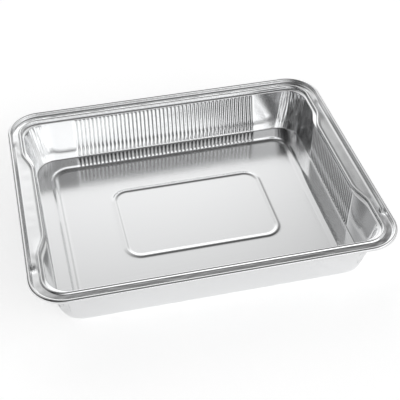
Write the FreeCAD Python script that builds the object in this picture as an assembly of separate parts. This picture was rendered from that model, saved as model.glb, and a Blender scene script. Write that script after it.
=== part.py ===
"""Half-size foil tray, pressed from one sheet of aluminium foil.

The sheet has a rolled rim, a flat flange, a raised lip round the opening, fluted walls and a
floor with two raised beads. The short sides have a grip panel, where the lip turns inward.

The sheet is drawn in sections. A section is traced round one quarter of the tray, from the
middle of a short side past the corner to the middle of a long side, and the other quarters
are its mirror images. Millimetres, +Z up, origin under the middle of the floor.
"""
import FreeCAD, Part
import math
import os

Vec = FreeCAD.Vector
UP = Vec(0, 0, 1)
ORIGIN = Vec(0, 0, 0)

# Outside of the tray
length = 325.0
width = 265.0
height = 50.0
corner_radius = 32.0
sheet = 0.3

# Rolled rim: the roll starts on its inner side and ends tucked in below
roll_radius = 1.8
roll_start = 180.0
roll_end = -90.0
roll_foot = 0.8
roll_steps = 6

# Flange and the lip bead, measured inward from the outer edge
flange_drop = 3.0
lip_inset = 12.0
lip_bead_radius = 1.5
lip_bead_steps = 4
lip_step = 1.8

# Grip panels on the short sides, ending short of where the rim's corners begin
grip_inward = 7.0
grip_turn = 27.0
grip_corner_gap = 28.5
crease_inset = 5.6
crease_depth = 0.9
crease_rise = 5.0
crease_corner_gap = 9.5

# Ledge inside the lip, and the walls below it
ledge_fall = 0.4
ledge_long_side = 2.5
ledge_short_side = 2.0
ledge_grip = 0.6
wall_corner_radius = 21.0
wall_turn = 24.0
wall_corner_gap = 17.5
long_wall_lean = 5.7
short_wall_lean = 7.5
base_corner_radius = 22.0
fold_size = 1.5

# Flutes of the walls
flute_pitch = 4.13
flute_depth = 0.9
long_smooth_end = 28.0
flute_top_fade = 2.4
flute_foot_fade = 1.8

# Raised beads of the floor, measured inward from the foot of the short and the long walls
outer_bead_width = 9.0
outer_bead_height = 1.5
inner_bead_width = 6.5
inner_bead_height = 1.2
bead_section = [(1.0, 0.0), (0.6, 0.4), (0.2, 1.0)]
outer_bead_end_margin = 16.9
outer_bead_side_margin = 17.7
outer_bead_radius = 16.0
inner_bead_end_margin = 66.4
inner_bead_side_margin = 64.1
inner_bead_radius = 14.0

# Levels and half sizes that follow
flange_level = height - flange_drop
roll_level = height - roll_radius
ledge_level = flange_level - lip_step
wall_top_level = ledge_level - ledge_fall
wall_foot_level = sheet + fold_size
half_length = length / 2
half_width = width / 2
lip_side = half_width - lip_inset - lip_bead_radius
lip_end = half_length - lip_inset - lip_bead_radius
wall_side = lip_side - ledge_long_side
wall_end = lip_end - ledge_short_side
wall_inward = grip_inward - ledge_short_side + ledge_grip
base_side = wall_side - long_wall_lean
base_end = wall_end - short_wall_lean
rim_corner_start = half_width - corner_radius
crease_half_length = rim_corner_start - crease_corner_gap - crease_rise
grip_half_length = rim_corner_start - grip_corner_gap - grip_turn
wall_turn_start = wall_side - wall_corner_radius - wall_corner_gap - wall_turn


# Paths round a quarter of the tray. Each move is a straight run or a turn about a centre.

def run(dx, dy):
    return ("run", Vec(dx, dy, 0))


def turn(x, y, angle):
    return ("turn", Vec(x, y, 0), angle)


def trace(shape, path):
    """Carry a point or a section edge along a path, giving one edge or face for each move."""
    traced = []
    for move in path:
        if move[0] == "run":
            traced.append(shape.extrude(move[1]))
            shape = shape.translated(move[1])
        else:
            traced.append(shape.revolve(move[1], UP, move[2]))
            shape = shape.rotated(move[1], UP, move[2])
    return traced


def corner_and_side(end, side, radius):
    """The last two moves of every path: round the corner and along the long side."""
    return [turn(end - radius, side - radius, 90), run(radius - end, 0)]


def runs_along_end(stops):
    """Straight runs along the short side between the given distances from its middle."""
    return [run(0, after - before) for before, after in zip(stops, stops[1:])]


def turned_path(end, side, radius, inward, start, length_of_turn):
    """A path whose middle lies further in, and which swings out to the corner in two arcs."""
    sweep = 2 * math.atan(inward / length_of_turn)
    arc = length_of_turn / 2 / math.sin(sweep)
    moves = [run(0, start), turn(end - inward + arc, start, -math.degrees(sweep))]
    moves.append(turn(end - arc, start + length_of_turn, math.degrees(sweep)))
    moves += runs_along_end([start + length_of_turn, side - radius])
    return moves + corner_and_side(end, side, radius)


def rim_path():
    stops = [0, crease_half_length, crease_half_length + crease_rise]
    stops.append(rim_corner_start)
    return runs_along_end(stops) + corner_and_side(half_length, half_width, corner_radius)


def lip_path():
    return turned_path(half_length, half_width, corner_radius, grip_inward,
                       grip_half_length, grip_turn)


def bead_path(end, side, radius):
    return [run(0, side - radius)] + corner_and_side(end, side, radius)


# Faces

def flat_face(points):
    return Part.Face(Part.makePolygon(points + [points[0]]))


def ends_of(edge):
    return edge.Vertexes[0].Point, edge.Vertexes[-1].Point


def face_between(edge, other):
    """A flat face where both edges lie in a plane, and a ruled one elsewhere."""
    first, second = ends_of(edge)
    third, fourth = ends_of(other)
    sides = [Part.makeLine(second, fourth), Part.makeLine(third, first)]
    wire = Part.Wire(Part.sortEdges([edge, other] + sides)[0])
    if wire.findPlane():
        return Part.Face(wire)
    return Part.makeRuledSurface(edge, other)


def strip(ring, other):
    return [face_between(edge, match) for edge, match in zip(ring, other)]


# Sections, as points and edges in the plane through the middle of the short side

def rim_point(inset, level):
    return Vec(half_length - inset, 0, level)


def lip_point(inset, level):
    return Vec(half_length - grip_inward - inset, 0, level)


def arc_points(centre, radius, start, end, steps):
    """Points of an arc in the section plane, its angles measured from outward over the top."""
    points = []
    for index in range(steps + 1):
        angle = math.radians(start + (end - start) * index / steps)
        points.append(centre + Vec(radius * math.cos(angle), 0, radius * math.sin(angle)))
    return points


def trace_section(points, path):
    """The faces that a section of straight steps leaves along a path."""
    faces = []
    for first, second in zip(points, points[1:]):
        faces += trace(Part.makeLine(first, second), path)
    return faces


# Rim and flange

def flange_edge(below):
    """Where the roll's slope meets the flange, on the skin that lies this far below."""
    slope = math.atan2(roll_level - flange_level, roll_foot)
    slope_shift = below * math.tan(slope / 2)
    return rim_point(2 * roll_radius + roll_foot - slope_shift, flange_level - below)


def rim_faces():
    """Both skins of the roll, its slope down to the flange and the cut edge inside it."""
    centre = rim_point(roll_radius, roll_level)
    outside = arc_points(centre, roll_radius, roll_start, roll_end, roll_steps)
    inside = arc_points(centre, roll_radius - sheet, roll_start, roll_end, roll_steps)
    section = [flange_edge(0)] + outside + inside[::-1] + [flange_edge(sheet)]
    return trace_section(section, rim_path())


def crease_points(level):
    """Points of the crease along half a grip panel, below the flange by its depth."""
    grip_end = grip_half_length + grip_turn
    stops = [0, grip_half_length, grip_half_length + grip_turn / 2, grip_end]
    stops.append(crease_half_length)
    return [Vec(half_length - crease_inset, y, level - crease_depth) for y in stops]


def flange_faces(below):
    """One skin of the flange, which sinks along the grip panel to a crease beside the roll."""
    level = flange_level - below
    outer = trace(Part.Vertex(flange_edge(below)), rim_path())
    inner = trace(Part.Vertex(rim_point(crease_inset, level)), rim_path())
    foot = trace(Part.Vertex(lip_foot(below)), lip_path())
    crease = crease_points(level)
    grip_turned, crease_end = crease[-2:]
    outer_start, outer_stop = ends_of(outer[0])
    outer_risen = ends_of(outer[1])[1]
    risen, corner_start = ends_of(inner[2])
    lip_turned, lip_corner_start = ends_of(foot[3])
    faces = [flat_face([outer_start, outer_stop] + crease[::-1])]
    faces.append(flat_face([outer_stop, outer_risen, crease_end]))
    faces.append(flat_face([outer_risen, risen, crease_end]))
    faces += strip(outer[2:], inner[2:])
    panel = [Part.makeLine(here, there) for here, there in zip(crease, crease[1:])]
    faces += strip(panel[:-1], foot[:3])
    faces.append(flat_face([lip_turned, grip_turned, crease_end]))
    faces.append(flat_face([lip_turned, crease_end, risen]))
    faces.append(flat_face([lip_turned, risen, corner_start, lip_corner_start]))
    return faces + strip(inner[3:], foot[4:])


def lip_foot(below):
    """Where the flange meets the outer foot of the lip bead."""
    reach = math.sqrt((lip_bead_radius - below) ** 2 - below ** 2)
    return lip_point(lip_inset - reach, flange_level - below)


def lip_faces(below):
    """The lip bead and the step inside it, on one skin of the sheet."""
    centre = lip_point(lip_inset, flange_level)
    radius = lip_bead_radius - below
    start = -math.degrees(math.asin(below / radius))
    section = arc_points(centre, radius, start, 180, lip_bead_steps)
    return trace_section(section + [lip_inner_foot(below)], lip_path())


def lip_inner_foot(below):
    return lip_point(lip_inset + lip_bead_radius - below, ledge_level - below)


# Walls

def wall_sizes(level, outward):
    """Half sizes of the wall at a level, moved outward by the sheet for the outer skin."""
    share = (level - wall_foot_level) / (wall_top_level - wall_foot_level)
    end = base_end + share * short_wall_lean + outward
    side = base_side + share * long_wall_lean + outward
    radius = base_corner_radius + share * (wall_corner_radius - base_corner_radius) + outward
    inward = share * wall_inward
    return end, side, radius, inward


def wall_path(level, outward):
    end, side, radius, inward = wall_sizes(level, outward)
    if inward > 0:
        return turned_path(end, side, radius, inward, wall_turn_start, wall_turn)
    stops = [0, wall_turn_start, wall_turn_start + wall_turn / 2, wall_turn_start + wall_turn]
    return runs_along_end(stops + [side - radius]) + corner_and_side(end, side, radius)


def wall_ring(level, outward):
    end, side, radius, inward = wall_sizes(level, outward)
    return trace(Part.Vertex(end - inward, 0, level), wall_path(level, outward))


def flute_places(half_span):
    """Distances of the inner folds from the middle of a wall, a pitch apart."""
    return [index * flute_pitch for index in range(int(half_span / flute_pitch) + 1)]


short_places = flute_places(wall_turn_start)
long_places = flute_places(wall_end - wall_corner_radius - long_smooth_end)


def crests_between(places):
    return [(here + there) / 2 for here, there in zip(places, places[1:])]


def short_line(level, outward, places):
    """Points of the short wall at a level, at these distances from its middle."""
    end, side, radius, inward = wall_sizes(level, outward)
    return [Vec(end - inward, y, level) for y in places]


def long_line(level, outward, places):
    """Points of the long wall at a level, at these distances from its middle."""
    side = wall_sizes(level, outward)[1]
    return [Vec(x, side, level) for x in places]


def flute_faces(line_of, places, top, foot, outward):
    """Flutes that stand out from a wall, each with two slopes and a closing facet at each end."""
    upper = line_of(top, outward, places)
    lower = line_of(foot, outward, places)
    crests = crests_between(places)
    upper_crests = line_of(top - flute_top_fade, outward + flute_depth, crests)
    lower_crests = line_of(foot + flute_foot_fade, outward + flute_depth, crests)
    faces = []
    for index, (high, low) in enumerate(zip(upper_crests, lower_crests)):
        for side in (index, index + 1):
            faces.append(flat_face([upper[side], high, low, lower[side]]))
        faces.append(flat_face([upper[index], high, upper[index + 1]]))
        faces.append(flat_face([lower[index], low, lower[index + 1]]))
    return faces


def wall_faces(outward, below):
    """The fluted walls on one skin of the sheet, between the ledge and the fold."""
    top = wall_top_level - below
    foot = wall_foot_level
    upper = wall_ring(top, outward)
    lower = wall_ring(foot, outward)
    faces = strip(upper[1:-1], lower[1:-1])
    rests = [[ends_of(upper[0])[1], ends_of(lower[0])[1]],
             [ends_of(upper[-1])[0], ends_of(lower[-1])[0]]]
    for line_of, places, rest in zip((short_line, long_line), (short_places, long_places), rests):
        faces += flute_faces(line_of, places, top, foot, outward)
        last_high, last_low = (line_of(level, outward, places)[-1] for level in (top, foot))
        faces.append(flat_face([last_high, rest[0], rest[1], last_low]))
    return faces


def strip_to_flutes(ring, wall, level, outward):
    """The strip between a plain ring and the wall's ring, with a corner at each inner fold."""
    faces = strip(ring[1:-1], wall[1:-1])
    middle, turned = ends_of(ring[0])
    short_points = short_line(level, outward, short_places) + [ends_of(wall[0])[1]]
    faces.append(flat_face(short_points + [turned, middle]))
    cornered, middle = ends_of(ring[-1])
    long_points = long_line(level, outward, long_places) + [ends_of(wall[-1])[0]]
    faces.append(flat_face(long_points + [cornered, middle]))
    return faces


def ledge_faces(outward, below):
    foot = trace(Part.Vertex(lip_inner_foot(below)), lip_path())
    top = wall_top_level - below
    return strip_to_flutes(foot, wall_ring(top, outward), top, outward)


# Floor

def floor_ring(inset, level, outward):
    """A ring at the fold, set in from the foot of the wall."""
    end, side, radius, inward = wall_sizes(wall_foot_level, outward)
    path = wall_path(wall_foot_level, outward)
    return trace(Part.Vertex(end - inset, 0, level), path)


def fold_faces(outward, floor_level):
    """The fold between wall and floor, and the ring where the flat floor begins."""
    flat = floor_ring(wall_foot_level - floor_level, floor_level, outward)
    wall = wall_ring(wall_foot_level, outward)
    return strip_to_flutes(flat, wall, wall_foot_level, outward), flat


def quarter_of_floor(outer, inner):
    """A flat quarter between two rings, or inside one ring if there is no inner one."""
    outer_start = ends_of(outer[0])[0]
    outer_end = ends_of(outer[-1])[1]
    if inner:
        inner_start = ends_of(inner[0])[0]
        inner_end = ends_of(inner[-1])[1]
        sides = [Part.makeLine(outer_end, inner_end), Part.makeLine(inner_start, outer_start)]
    else:
        middle = Vec(0, 0, outer_start.z)
        sides = [Part.makeLine(outer_end, middle), Part.makeLine(middle, outer_start)]
    edges = Part.sortEdges(outer + (inner or []) + sides)[0]
    return Part.Face(Part.Wire(edges))


def bead_faces(end, side, radius, bead_width, bead_height, below):
    """A raised bead of the floor on one skin, with the rings at its outer and inner foot."""
    path = bead_path(end, side, radius)
    section = []
    for across, rise in bead_section + [(-a, r) for a, r in bead_section[::-1]]:
        x = end + across * bead_width / 2
        section.append(Vec(x, 0, sheet - below + rise * bead_height))
    outer = trace(Part.Vertex(section[0]), path)
    inner = trace(Part.Vertex(section[-1]), path)
    return trace_section(section, path), outer, inner


def floor_faces(outward, below):
    floor_level = sheet - below
    faces, flat = fold_faces(outward, floor_level)
    outer_bead = bead_faces(base_end - outer_bead_end_margin,
                            base_side - outer_bead_side_margin, outer_bead_radius,
                            outer_bead_width, outer_bead_height, below)
    inner_bead = bead_faces(base_end - inner_bead_end_margin,
                            base_side - inner_bead_side_margin, inner_bead_radius,
                            inner_bead_width, inner_bead_height, below)
    faces += outer_bead[0] + inner_bead[0]
    faces.append(quarter_of_floor(flat, outer_bead[1]))
    faces.append(quarter_of_floor(outer_bead[2], inner_bead[1]))
    faces.append(quarter_of_floor(inner_bead[2], None))
    return faces


# The whole sheet

def quarter_faces():
    faces = rim_faces()
    for outward, below in ((0, 0), (sheet, sheet)):
        faces += flange_faces(below)
        faces += lip_faces(below)
        faces += ledge_faces(outward, below)
        faces += wall_faces(outward, below)
        faces += floor_faces(outward, below)
    return faces


def foil_tray():
    quarter = Part.makeCompound(quarter_faces())
    half = Part.makeCompound([quarter, quarter.mirror(ORIGIN, Vec(0, 1, 0))])
    skin = Part.makeCompound([half, half.mirror(ORIGIN, Vec(1, 0, 0))])
    skin.sewShape()
    tray = Part.Solid(skin.Shells[0]).removeSplitter()
    if tray.Volume < 0:
        tray.reverse()
    return tray


os.makedirs("parts", exist_ok=True)
foil_tray().exportStep("parts/foil_tray.step")
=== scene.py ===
import math

import bpy
import numpy as np
from mathutils import Matrix, Vector, noise


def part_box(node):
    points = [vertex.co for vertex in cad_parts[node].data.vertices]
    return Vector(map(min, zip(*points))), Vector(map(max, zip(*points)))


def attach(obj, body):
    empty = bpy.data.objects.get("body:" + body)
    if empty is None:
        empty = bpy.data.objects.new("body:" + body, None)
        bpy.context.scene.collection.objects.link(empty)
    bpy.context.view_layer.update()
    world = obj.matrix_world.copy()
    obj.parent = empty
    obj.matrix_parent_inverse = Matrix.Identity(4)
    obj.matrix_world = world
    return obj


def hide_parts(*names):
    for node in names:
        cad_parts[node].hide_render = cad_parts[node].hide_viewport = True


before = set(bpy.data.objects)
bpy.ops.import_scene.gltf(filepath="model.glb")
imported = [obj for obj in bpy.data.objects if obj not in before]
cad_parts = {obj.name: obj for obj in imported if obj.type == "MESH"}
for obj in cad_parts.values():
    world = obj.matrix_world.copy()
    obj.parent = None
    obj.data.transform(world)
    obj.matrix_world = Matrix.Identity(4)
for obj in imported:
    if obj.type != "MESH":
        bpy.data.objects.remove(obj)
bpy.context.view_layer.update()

# The tray is one pressed sheet. Its section is drawn in millimetres from the same sizes as the
# solid, with rounder flutes and beads, dents in the flange and wrinkles in the corners.

MM = 0.001
low_corner, high_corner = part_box("foil_tray")
HALF_LENGTH = high_corner[0] / MM
HALF_WIDTH = high_corner[1] / MM
HEIGHT = high_corner[2] / MM
CORNER_RADIUS = 32.0
SHEET = 0.3

# The roll of the rim. A power of 1 is round, a larger one gives a longer slope.
ROLL_RADIUS = 1.8
ROLL_FOOT = 0.8
ROLL_OUTER_POWER = 1.4
ROLL_INNER_POWER = 0.75
ROLL_NECK_GAP = 0.15
ROLL_NECK_DROP = 0.75

# The flange falls a little outward and has shallow dents
FLANGE_DROP = 3.0
FLANGE_TILT = 0.55
CREASE_TILT = 0.44
DENT_DEPTH = 0.2
DENT_SIZE = 7.0
DENT_SEED = 4.0

# The lip bead, and the grips of the short sides, where it turns inward
LIP_INSET = 12.0
LIP_BEAD_RADIUS = 1.5
LIP_FOOT_GAP = 0.4
LIP_STEP = 1.8
GRIP_INWARD = 7.0
GRIP_HALF_LENGTH = 45.0
GRIP_TURN = 27.0

# The crease of each short side, with a pit at its near end
CREASE_INSET = 5.6
CREASE_DEPTH = 0.9
CREASE_HALF_LENGTH = 86.0
CREASE_RISE = 5.0
PIT_DEPTH = 2.6
PIT_LENGTH = 5.5
PIT_RISE = 1.2
PIT_INSET = 6.2
PIT_RADIUS = 1.6

# The ledge inside the lip. Its bend is given by distances inward and heights over the ledge.
LEDGE_BEND = ((0.0, 0.5), (0.15, 0.12), (0.3, 0.0))
LEDGE_FALL = 0.4
LEDGE_LONG_SIDE = 2.5
LEDGE_SHORT_SIDE = 2.0
LEDGE_GRIP = 0.6

WALL_CORNER_RADIUS = 21.0
WALL_TURN_START = 54.0
WALL_TURN = 24.0
LONG_WALL_LEAN = 5.7
SHORT_WALL_LEAN = 7.5
BASE_CORNER_RADIUS = 22.0
FOLD_SIZE = 0.8

FLUTE_PITCH = 4.13
LONG_FLUTE_DEPTH = 0.9
SHORT_FLUTE_DEPTH = 1.05
SHORT_FLUTES = 13
LONG_FLUTES = 23
FLUTE_TOP_FADE = 2.4
FLUTE_FOOT_FADE = 0.8

# Wrinkles of the wall's corners: fine creases over broader ones
FINE_WRINKLE_DEPTH = 1.1
FINE_WRINKLE_WIDTH = 1.3
FINE_WRINKLE_LENGTH = 17.0
BROAD_WRINKLE_DEPTH = 0.35
BROAD_WRINKLE_WIDTH = 3.4
BROAD_WRINKLE_LENGTH = 25.0
WRINKLE_SLANT = 0.4

OUTER_BEAD_WIDTH = 9.0
OUTER_BEAD_HEIGHT = 0.85
OUTER_BEAD_END_MARGIN = 16.9
OUTER_BEAD_SIDE_MARGIN = 17.7
OUTER_BEAD_RADIUS = 16.0
INNER_BEAD_WIDTH = 6.5
INNER_BEAD_HEIGHT = 0.5
INNER_BEAD_END_MARGIN = 66.4
INNER_BEAD_SIDE_MARGIN = 64.1
INNER_BEAD_RADIUS = 14.0
INNER_BEAD_SHIFT = 4.0

# Thin foil is never quite square: how far each corner lies off, along the length and the width
RIM_SHIFT = {"near left": (-1, -1), "near right": (2, -1.5), "far left": (1.5, -1.5),
             "far right": (-4, -1.5)}
FLOOR_SHIFT = {"near left": (0, 0), "near right": (1.5, 0), "far left": (0, 0),
               "far right": (-1, 0)}

FLANGE_LEVEL = HEIGHT - FLANGE_DROP
ROLL_LEVEL = HEIGHT - ROLL_RADIUS
LEDGE_LEVEL = FLANGE_LEVEL - LIP_STEP
WALL_TOP = LEDGE_LEVEL - LEDGE_FALL
WALL_FOOT = SHEET + FOLD_SIZE
LIP_INNER_INSET = LIP_INSET + LIP_BEAD_RADIUS
WALL_SIDE = HALF_WIDTH - LIP_INNER_INSET - LEDGE_LONG_SIDE
WALL_END = HALF_LENGTH - LIP_INNER_INSET - LEDGE_SHORT_SIDE
WALL_INWARD = GRIP_INWARD - LEDGE_SHORT_SIDE + LEDGE_GRIP
BASE_SIDE = WALL_SIDE - LONG_WALL_LEAN
BASE_END = WALL_END - SHORT_WALL_LEAN
SHORT_FLUTES_END = SHORT_FLUTES * FLUTE_PITCH
LONG_FLUTES_END = LONG_FLUTES * FLUTE_PITCH

# Points that a row has along each stretch of a quarter of the tray
STEPS_PER_FLUTE = 6
END_STEPS = 20
CORNER_STEPS = 60
SIDE_STEPS = 16

# Rows of each stretch of the section
ROLL_ROWS = 16
LIP_ROWS = 8
FLUTE_ROWS = 6
BEAD_ROWS = 11


# Rows of points round the tray

def smooth(share):
    share = np.clip(share, 0.0, 1.0)
    return share * share * (3 - 2 * share)


def blend(first, second, share):
    return first * (1 - share) + second * share


def stretch(first, last, steps):
    """Evenly spaced values after the first, up to the last."""
    return np.arange(1, steps + 1) / steps * (last - first) + first


def flute_steps(flutes):
    """Places of the points on a number of flutes, counted in flutes from the wall's middle."""
    return np.arange(flutes * STEPS_PER_FLUTE + 1) / STEPS_PER_FLUTE


def quarter_row(end, side, radius, inward=0.0, start=GRIP_HALF_LENGTH, turn=GRIP_TURN):
    """Points and outward directions from the middle of a short side to that of a long side."""
    end_share = min(1.0, (side - radius) / (BASE_SIDE - BASE_CORNER_RADIUS))
    side_share = min(1.0, (end - radius) / (BASE_END - BASE_CORNER_RADIUS))
    short_flutes_end = SHORT_FLUTES_END * end_share
    long_flutes_end = LONG_FLUTES_END * side_share

    on_short_flutes = flute_steps(SHORT_FLUTES) * FLUTE_PITCH * end_share
    along_end = np.concatenate([on_short_flutes,
                                stretch(short_flutes_end, side - radius, END_STEPS)])
    across_end = end - inward * (1 - smooth((along_end - start) / turn))
    angle = stretch(0, math.pi / 2, CORNER_STEPS)
    on_long_flutes = flute_steps(LONG_FLUTES)[-2::-1] * FLUTE_PITCH * side_share
    along_side = np.concatenate([stretch(end - radius, long_flutes_end, SIDE_STEPS),
                                 on_long_flutes])

    x = np.concatenate([across_end, end - radius + radius * np.cos(angle), along_side])
    y = np.concatenate([along_end, side - radius + radius * np.sin(angle),
                        np.full(len(along_side), side)])
    out_x = np.concatenate([np.ones(len(along_end)), np.cos(angle), np.zeros(len(along_side))])
    out_y = np.concatenate([np.zeros(len(along_end)), np.sin(angle), np.ones(len(along_side))])
    return np.stack([x, y, out_x, out_y], axis=1)


def whole_row(quarter):
    """The quarter and its mirror images, as one closed row."""
    flip_x = np.array([-1, 1, -1, 1])
    flip_y = np.array([1, -1, 1, -1])
    half = np.concatenate([quarter, (quarter * flip_x)[-2::-1]])
    return np.concatenate([half, (half * flip_y)[-2:0:-1]])


def mirrored(values):
    """Values of a quarter row's points, spread over the whole row."""
    half = np.concatenate([values, values[-2::-1]])
    return np.concatenate([half, half[-2:0:-1]])


def flute_wave():
    """The flutes' share of their depth at each point of a quarter row."""
    wave = np.zeros(len(quarter_row(BASE_END, BASE_SIDE, BASE_CORNER_RADIUS)))
    short = flute_steps(SHORT_FLUTES)
    long = flute_steps(LONG_FLUTES)[-2::-1]
    wave[:len(short)] = (1 - np.cos(2 * math.pi * short)) / 2
    wave[-len(long):] = (1 - np.cos(2 * math.pi * long)) / 2
    return wave


def kept_points():
    """Which points of a quarter row stay where the wall has no flutes."""
    keep = np.ones(len(flute_wave()), bool)
    short_count = SHORT_FLUTES * STEPS_PER_FLUTE
    long_count = LONG_FLUTES * STEPS_PER_FLUTE
    keep[:short_count] = np.arange(short_count) % STEPS_PER_FLUTE == 0
    corner_start = short_count + END_STEPS + 1
    keep[corner_start:corner_start + CORNER_STEPS] = np.arange(CORNER_STEPS) % 2 == 1
    keep[-long_count:] = np.arange(long_count)[::-1] % STEPS_PER_FLUTE == 0
    return keep


def row(outline, level):
    """A closed row of points at a level, in millimetres, with their outward directions."""
    points = whole_row(quarter_row(*outline))
    return np.column_stack([points[:, 0], points[:, 1], np.full(len(points), level),
                            points[:, 2], points[:, 3]])


def on_short_side(points):
    return np.abs(points[:, 3]) > 0.99


# The section, from the cut edge inside the roll to the middle of the floor

def rim_outline(inset):
    return (HALF_LENGTH - inset, HALF_WIDTH - inset, CORNER_RADIUS - inset)


def lip_outline(inset):
    return rim_outline(inset) + (GRIP_INWARD, GRIP_HALF_LENGTH, GRIP_TURN)


def roll_power(angle):
    """Round under the roll, and with a slope of its own on each side above."""
    if angle < 0:
        return 1
    return ROLL_OUTER_POWER if angle < math.pi / 2 else ROLL_INNER_POWER


def roll_rows():
    rows = []
    for angle in np.radians(np.linspace(-90, 180, ROLL_ROWS)):
        breadth = abs(math.cos(angle)) ** roll_power(angle)
        inset = ROLL_RADIUS - ROLL_RADIUS * math.copysign(breadth, math.cos(angle))
        rows.append(row(rim_outline(inset), ROLL_LEVEL + ROLL_RADIUS * math.sin(angle)))
    neck = row(rim_outline(2 * ROLL_RADIUS + ROLL_NECK_GAP), ROLL_LEVEL - ROLL_NECK_DROP)
    return rows + [neck]


def crease_sink(points):
    """How far the flange sinks at each point of the crease."""
    past_end = np.abs(points[:, 1]) - CREASE_HALF_LENGTH
    return CREASE_DEPTH * (1 - smooth(past_end / CREASE_RISE)) * on_short_side(points)


def pit_sink(points):
    """A small pit at the near end of each crease, that falls slowly and rises steeply."""
    inset = HALF_LENGTH - np.abs(points[:, 0])
    across = np.exp(-((inset - PIT_INSET) / PIT_RADIUS) ** 2)
    past_start = -points[:, 1] - CREASE_HALF_LENGTH + PIT_LENGTH
    along = np.clip(past_start / PIT_LENGTH, 0, 1)
    along *= 1 - smooth((past_start - PIT_LENGTH) / PIT_RISE)
    return PIT_DEPTH * across * along * (points[:, 1] < 0)


def flange_dents(points):
    places = points[:, :2] / DENT_SIZE
    return DENT_DEPTH * np.array([noise.noise(Vector((x, y, DENT_SEED))) for x, y in places])


def flange_rows():
    edge = row(rim_outline(2 * ROLL_RADIUS + ROLL_FOOT), FLANGE_LEVEL - FLANGE_TILT)
    crease = row(rim_outline(CREASE_INSET), FLANGE_LEVEL - CREASE_TILT)
    crease[:, 2] -= crease_sink(crease)
    lip_foot = row(lip_outline(LIP_INSET - LIP_BEAD_RADIUS - LIP_FOOT_GAP), FLANGE_LEVEL)
    rows = [edge, blend(edge, crease, 0.5), crease]
    for share in (0.12, 0.3, 0.5, 0.7, 0.88):
        points = blend(crease, lip_foot, share)
        points[:, 2] += 4 * share * (1 - share) * flange_dents(points)
        rows.append(points)
    for points in rows:
        points[:, 2] -= pit_sink(points)
    return rows + [lip_foot]


def lip_rows():
    """The lip bead and the bend at the foot of its inner side."""
    rows = []
    for angle in np.radians(np.linspace(15, 180, LIP_ROWS)):
        inset = LIP_INSET - LIP_BEAD_RADIUS * math.cos(angle)
        rows.append(row(lip_outline(inset), FLANGE_LEVEL + LIP_BEAD_RADIUS * math.sin(angle)))
    for inward, rise in LEDGE_BEND:
        rows.append(row(lip_outline(LIP_INNER_INSET + inward), LEDGE_LEVEL + rise))
    return rows


def wall_outline(level):
    share = (level - WALL_FOOT) / (WALL_TOP - WALL_FOOT)
    return (BASE_END + share * SHORT_WALL_LEAN, BASE_SIDE + share * LONG_WALL_LEAN,
            blend(BASE_CORNER_RADIUS, WALL_CORNER_RADIUS, share), share * WALL_INWARD,
            WALL_TURN_START, WALL_TURN)


def ledge_rows(bend):
    top = row(wall_outline(WALL_TOP), WALL_TOP)
    return [blend(bend, top, share) for share in (0.5, 0.85)]


def corner_wrinkles(points):
    """Fine creases that run down the corners of the walls, strongest near their top."""
    depths = np.zeros(len(points))
    height = (points[:, 2] - WALL_FOOT) / (WALL_TOP - WALL_FOOT)
    around = np.degrees(np.arctan2(np.abs(points[:, 4]), np.abs(points[:, 3])))
    in_corner = smooth((around - 2) / 12) * smooth((88 - around) / 12)
    strength = in_corner * smooth(height / 0.3) * smooth((1.02 - height) / 0.1)
    for index in np.nonzero(strength > 0.001)[0]:
        x, y, z = points[index, :3]
        # Each corner has a number of its own, so that no two are wrinkled alike
        corner = math.copysign(1, x) + 2 * math.copysign(1, y)
        slant = WRINKLE_SLANT * math.sin(1.7 * corner) * (z - WALL_FOOT)
        arc = math.radians(around[index]) * WALL_CORNER_RADIUS
        fine = noise.noise(Vector(((arc + slant) / FINE_WRINKLE_WIDTH, z / FINE_WRINKLE_LENGTH,
                                   7.3 * corner)))
        broad = noise.noise(Vector(((arc - slant) / BROAD_WRINKLE_WIDTH,
                                    z / BROAD_WRINKLE_LENGTH, 3.1 * corner + 20)))
        depths[index] = FINE_WRINKLE_DEPTH * fine + BROAD_WRINKLE_DEPTH * broad
    return depths * strength


def wall_levels():
    """Levels of the wall's rows, closer where the flutes fade out."""
    fade_foot = WALL_TOP - FLUTE_TOP_FADE
    fade_top = WALL_FOOT + FLUTE_FOOT_FADE
    levels = [WALL_TOP - FLUTE_TOP_FADE * share for share in (0, 0.25, 0.5, 0.75, 1)]
    levels += list(stretch(fade_foot, fade_top, FLUTE_ROWS))
    return levels + [fade_top - FLUTE_FOOT_FADE * share for share in (0.33, 0.67, 1)]


def wall_rows():
    wave = mirrored(flute_wave())
    rows = []
    for level in wall_levels():
        points = row(wall_outline(level), level)
        upper = smooth((WALL_TOP - level) / FLUTE_TOP_FADE)
        lower = smooth((level - WALL_FOOT) / FLUTE_FOOT_FADE)
        depth = np.where(on_short_side(points), SHORT_FLUTE_DEPTH, LONG_FLUTE_DEPTH)
        out = depth * wave * upper * lower + corner_wrinkles(points)
        points[:, 0] += out * points[:, 3]
        points[:, 1] += out * points[:, 4]
        rows.append(points)
    return rows


def fold_rows():
    rows = []
    for angle in np.radians((25, 50, 72, 90)):
        inset = FOLD_SIZE * (1 - math.cos(angle))
        outline = (BASE_END - inset, BASE_SIDE - inset, BASE_CORNER_RADIUS - inset)
        rows.append(row(outline, WALL_FOOT - FOLD_SIZE * math.sin(angle)))
    return rows


def bead_rows(end, side, radius, width, height):
    rows = []
    for across in np.linspace(1, -1, BEAD_ROWS):
        out = across * width / 2
        rise = height * (1 + math.cos(math.pi * across)) / 2
        rows.append(row((end + out, side + out, radius + out), SHEET + rise))
    return rows


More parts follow.
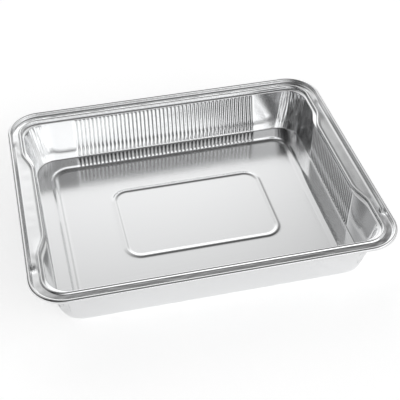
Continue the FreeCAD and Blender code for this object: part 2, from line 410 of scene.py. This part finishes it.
def inner_bead_rows():
    """The inner bead and two plain rows inside it, a little off the middle of the floor."""
    end = BASE_END - INNER_BEAD_END_MARGIN
    side = BASE_SIDE - INNER_BEAD_SIDE_MARGIN
    rows = bead_rows(end, side, INNER_BEAD_RADIUS, INNER_BEAD_WIDTH, INNER_BEAD_HEIGHT)
    for gap in (1, 9):
        inset = INNER_BEAD_WIDTH / 2 + gap
        rows.append(row((end - inset, side - inset, INNER_BEAD_RADIUS - inset), SHEET))
    for points in rows:
        points[:, 0] += INNER_BEAD_SHIFT
    return rows


def floor_rows(fold_foot):
    outer = bead_rows(BASE_END - OUTER_BEAD_END_MARGIN, BASE_SIDE - OUTER_BEAD_SIDE_MARGIN,
                      OUTER_BEAD_RADIUS, OUTER_BEAD_WIDTH, OUTER_BEAD_HEIGHT)
    inner = inner_bead_rows()
    rows = [blend(fold_foot, outer[0], share) for share in (0.1, 0.5, 0.9)] + outer
    rows += [blend(outer[-1], inner[0], share) for share in (0.03, 0.35, 0.65, 0.97)]
    return rows + inner


def out_of_square(points):
    """Shifts the corners of the rim and of the floor."""
    east = (points[:, 0] / HALF_LENGTH + 1) / 2
    north = (points[:, 1] / HALF_WIDTH + 1) / 2
    up = points[:, 2] / HEIGHT
    weights = {"near left": (1 - east) * (1 - north), "near right": east * (1 - north),
               "far left": (1 - east) * north, "far right": east * north}
    for corner, weight in weights.items():
        for axis in (0, 1):
            shift = blend(FLOOR_SHIFT[corner][axis], RIM_SHIFT[corner][axis], up)
            points[:, axis] += shift * weight
    return points


# The mesh

def rows_with_places():
    """Each row of points with the places of the points that it keeps."""
    flags = mirrored(kept_points())
    plain = list(np.nonzero(flags)[0])
    every = list(range(len(flags)))
    lip = lip_rows()
    folds = fold_rows()
    rows = [(points, plain) for points in roll_rows() + flange_rows() + lip]
    rows += [(points, plain) for points in ledge_rows(lip[-1])]
    rows += [(points, every) for points in wall_rows() + folds[:1]]
    return rows + [(points, plain) for points in folds[1:] + floor_rows(folds[-1])]


def faces_between(first, first_start, second, second_start):
    """Faces between two rows, with the finer row's extra points on the coarser one's edges."""
    first_is_fine = len(first) >= len(second)
    fine, fine_start = (first, first_start) if first_is_fine else (second, second_start)
    coarse, coarse_start = (second, second_start) if first_is_fine else (first, first_start)
    order = {place: index for index, place in enumerate(fine)}
    faces = []
    for index, place in enumerate(coarse):
        following = (index + 1) % len(coarse)
        finish = order[coarse[following]] or len(fine)
        line = [fine_start + spot % len(fine) for spot in range(order[place], finish + 1)]
        face = line + [coarse_start + following, coarse_start + index]
        faces.append(face if first_is_fine else face[::-1])
    return faces


def floor_middle(start, count):
    """The middle of the floor: a cap at each short side, and strips between the long sides."""
    short = SHORT_FLUTES + END_STEPS + 1
    faces = [list(range(-short, short + 1))]
    for index in range(short, count // 2 - short):
        faces.append([index, index + 1, -index - 1, -index])
    faces.append([count // 2 + step for step in range(-short, short + 1)])
    return [[start + corner % count for corner in face] for face in faces]


def tray_mesh():
    points = []
    faces = []
    start = 0
    previous = None
    for full_row, places in rows_with_places():
        points.append(full_row[places, :3])
        if previous is not None:
            faces += faces_between(*previous, places, start)
        previous = (places, start)
        start += len(places)
    last_places, last_start = previous
    faces += floor_middle(last_start, len(last_places))
    points = out_of_square(np.concatenate(points))
    mesh = bpy.data.meshes.new("foil_sheet")
    mesh.from_pydata((points * MM).tolist(), [], faces)
    mesh.validate()
    for polygon in mesh.polygons:
        polygon.use_smooth = True
    return mesh


def add_tray():
    tray = bpy.data.objects.new("foil_sheet", tray_mesh())
    bpy.context.collection.objects.link(tray)
    thickness = tray.modifiers.new("thickness", "SOLIDIFY")
    thickness.thickness = SHEET * MM
    thickness.offset = -1
    return tray


# Materials

FOIL_COLOUR = (0.86, 0.865, 0.87, 1)
FOIL_ROUGHNESS = 0.17
# The faint grain of rolled foil runs along the tray
GRAIN_PER_METRE = (12, 420, 420)
GRAIN_DETAIL = 3.0
GRAIN_STRENGTH = 0.03
GRAIN_DEPTH = 0.0004

FLOOR_COLOUR = (0.9, 0.9, 0.9, 1)
FLOOR_ROUGHNESS = 0.9
# The floor's own glow, as the camera sees it and as the foil mirrors it
FLOOR_GLOW = 0.57
MIRRORED_GLOW = 0.45


def new_material(name):
    material = bpy.data.materials.new(name)
    material.use_nodes = True
    shader = material.node_tree.nodes["Principled BSDF"]
    return material, material.node_tree, shader


def math_node(tree, operation, *values):
    """A math node whose inputs are set to numbers or linked to sockets."""
    node = tree.nodes.new("ShaderNodeMath")
    node.operation = operation
    for socket, value in zip(node.inputs, values):
        if isinstance(value, bpy.types.NodeSocket):
            tree.links.new(value, socket)
        else:
            socket.default_value = value
    return node.outputs["Value"]


def foil_material():
    material, tree, shader = new_material("foil")
    shader.inputs["Base Color"].default_value = FOIL_COLOUR
    shader.inputs["Metallic"].default_value = 1.0
    shader.inputs["Roughness"].default_value = FOIL_ROUGHNESS
    place = tree.nodes.new("ShaderNodeTexCoord")
    stretched = tree.nodes.new("ShaderNodeMapping")
    stretched.inputs["Scale"].default_value = GRAIN_PER_METRE
    grain = tree.nodes.new("ShaderNodeTexNoise")
    grain.inputs["Scale"].default_value = 1.0
    grain.inputs["Detail"].default_value = GRAIN_DETAIL
    bump = tree.nodes.new("ShaderNodeBump")
    bump.inputs["Strength"].default_value = GRAIN_STRENGTH
    bump.inputs["Distance"].default_value = GRAIN_DEPTH
    tree.links.new(place.outputs["Object"], stretched.inputs["Vector"])
    tree.links.new(stretched.outputs["Vector"], grain.inputs["Vector"])
    tree.links.new(grain.outputs["Fac"], bump.inputs["Height"])
    tree.links.new(bump.outputs["Normal"], shader.inputs["Normal"])
    return material


def floor_material():
    material, tree, shader = new_material("studio_floor")
    shader.inputs["Base Color"].default_value = FLOOR_COLOUR
    shader.inputs["Roughness"].default_value = FLOOR_ROUGHNESS
    shader.inputs["Specular IOR Level"].default_value = 0.0
    shader.inputs["Emission Color"].default_value = (1, 1, 1, 1)
    rays = tree.nodes.new("ShaderNodeLightPath")
    seen = math_node(tree, "ADD", rays.outputs["Is Camera Ray"],
                     rays.outputs["Is Transmission Ray"])
    seen = math_node(tree, "MULTIPLY", seen, FLOOR_GLOW)
    mirrored_part = math_node(tree, "MULTIPLY", rays.outputs["Is Glossy Ray"], MIRRORED_GLOW)
    glow = math_node(tree, "ADD", seen, mirrored_part)
    tree.links.new(glow, shader.inputs["Emission Strength"])
    return material


# Studio

FLOOR_HALF_SIZE = 6.0
FLOOR_LEVEL = -0.0002

# Soft lamps of the studio, for each height in degrees: azimuth in degrees and brightness
LAMP_SHARPNESS = 26
LAMPS = {
    6: ((77, 0.5), (103, 0.45)),
    23: ((0, 0.6), (26, 0.85), (77, 1.1), (103, 0.85), (129, 0.15), (180, 0.2), (231, 0.15),
         (257, 1.05), (283, 1.35), (309, 1.35), (334, 0.95)),
    41: ((0, 0.9), (72, 0.54), (90, 0.2), (108, 0.45), (144, 0.3), (288, 0.5), (324, 0.85)),
    57: ((135, 0.5), (165, 0.3)),
    87: ((0, 0.3),),
}


def add_floor():
    mesh = bpy.data.meshes.new("studio_floor")
    size = FLOOR_HALF_SIZE
    mesh.from_pydata([(-size, -size, 0), (size, -size, 0), (size, size, 0), (-size, size, 0)],
                     [], [(0, 1, 2, 3)])
    floor = bpy.data.objects.new("studio_floor", mesh)
    bpy.context.collection.objects.link(floor)
    floor.location.z = FLOOR_LEVEL
    mesh.materials.append(floor_material())


def lamp_glow(tree, direction, azimuth, height, brightness):
    """How bright one soft lamp looks in a direction."""
    azimuth, height = math.radians(azimuth), math.radians(height)
    facing = tree.nodes.new("ShaderNodeVectorMath")
    facing.operation = "DOT_PRODUCT"
    tree.links.new(direction, facing.inputs[0])
    facing.inputs[1].default_value = (math.cos(height) * math.cos(azimuth),
                                      math.cos(height) * math.sin(azimuth), math.sin(height))
    seen = math_node(tree, "MAXIMUM", facing.outputs["Value"], 0.0)
    glow = math_node(tree, "POWER", seen, LAMP_SHARPNESS)
    return math_node(tree, "MULTIPLY", glow, brightness)


def studio_world():
    """A studio lit by soft lamps, mostly low round the tray, and dim overhead."""
    world = bpy.data.worlds.new("studio")
    world.use_nodes = True
    tree = world.node_tree
    background = tree.nodes["Background"]
    place = tree.nodes.new("ShaderNodeTexCoord")
    glow = 0.0
    for height, ring in LAMPS.items():
        for azimuth, brightness in ring:
            lamp = lamp_glow(tree, place.outputs["Generated"], azimuth, height, brightness)
            glow = math_node(tree, "ADD", lamp, glow)
    tree.links.new(glow, background.inputs["Color"])
    bpy.context.scene.world = world


# The photograph's view: place in metres, turns in radians, focal length and frame in pixels
CAMERA_PLACE = Vector((-0.15285, -0.68318, 0.64422))
CAMERA_PITCH = 0.7304
CAMERA_YAW = 0.2330
FOCAL_PIXELS = 979.24
FRAME_PIXELS = 400
SENSOR_MILLIMETRES = 36


def add_camera():
    data = bpy.data.cameras.new("camera")
    data.sensor_width = SENSOR_MILLIMETRES
    data.lens = FOCAL_PIXELS * SENSOR_MILLIMETRES / FRAME_PIXELS
    camera = bpy.data.objects.new("camera", data)
    turned = Matrix.Rotation(-CAMERA_YAW, 4, "Z") @ Matrix.Rotation(
        math.pi / 2 - CAMERA_PITCH, 4, "X")
    camera.matrix_world = Matrix.Translation(CAMERA_PLACE) @ turned
    bpy.context.collection.objects.link(camera)
    bpy.context.scene.camera = camera


tray = add_tray()
tray.data.materials.append(foil_material())
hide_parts("foil_tray")
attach(tray, "root")
add_floor()
studio_world()
add_camera()
bpy.context.scene.view_settings.view_transform = "Standard"
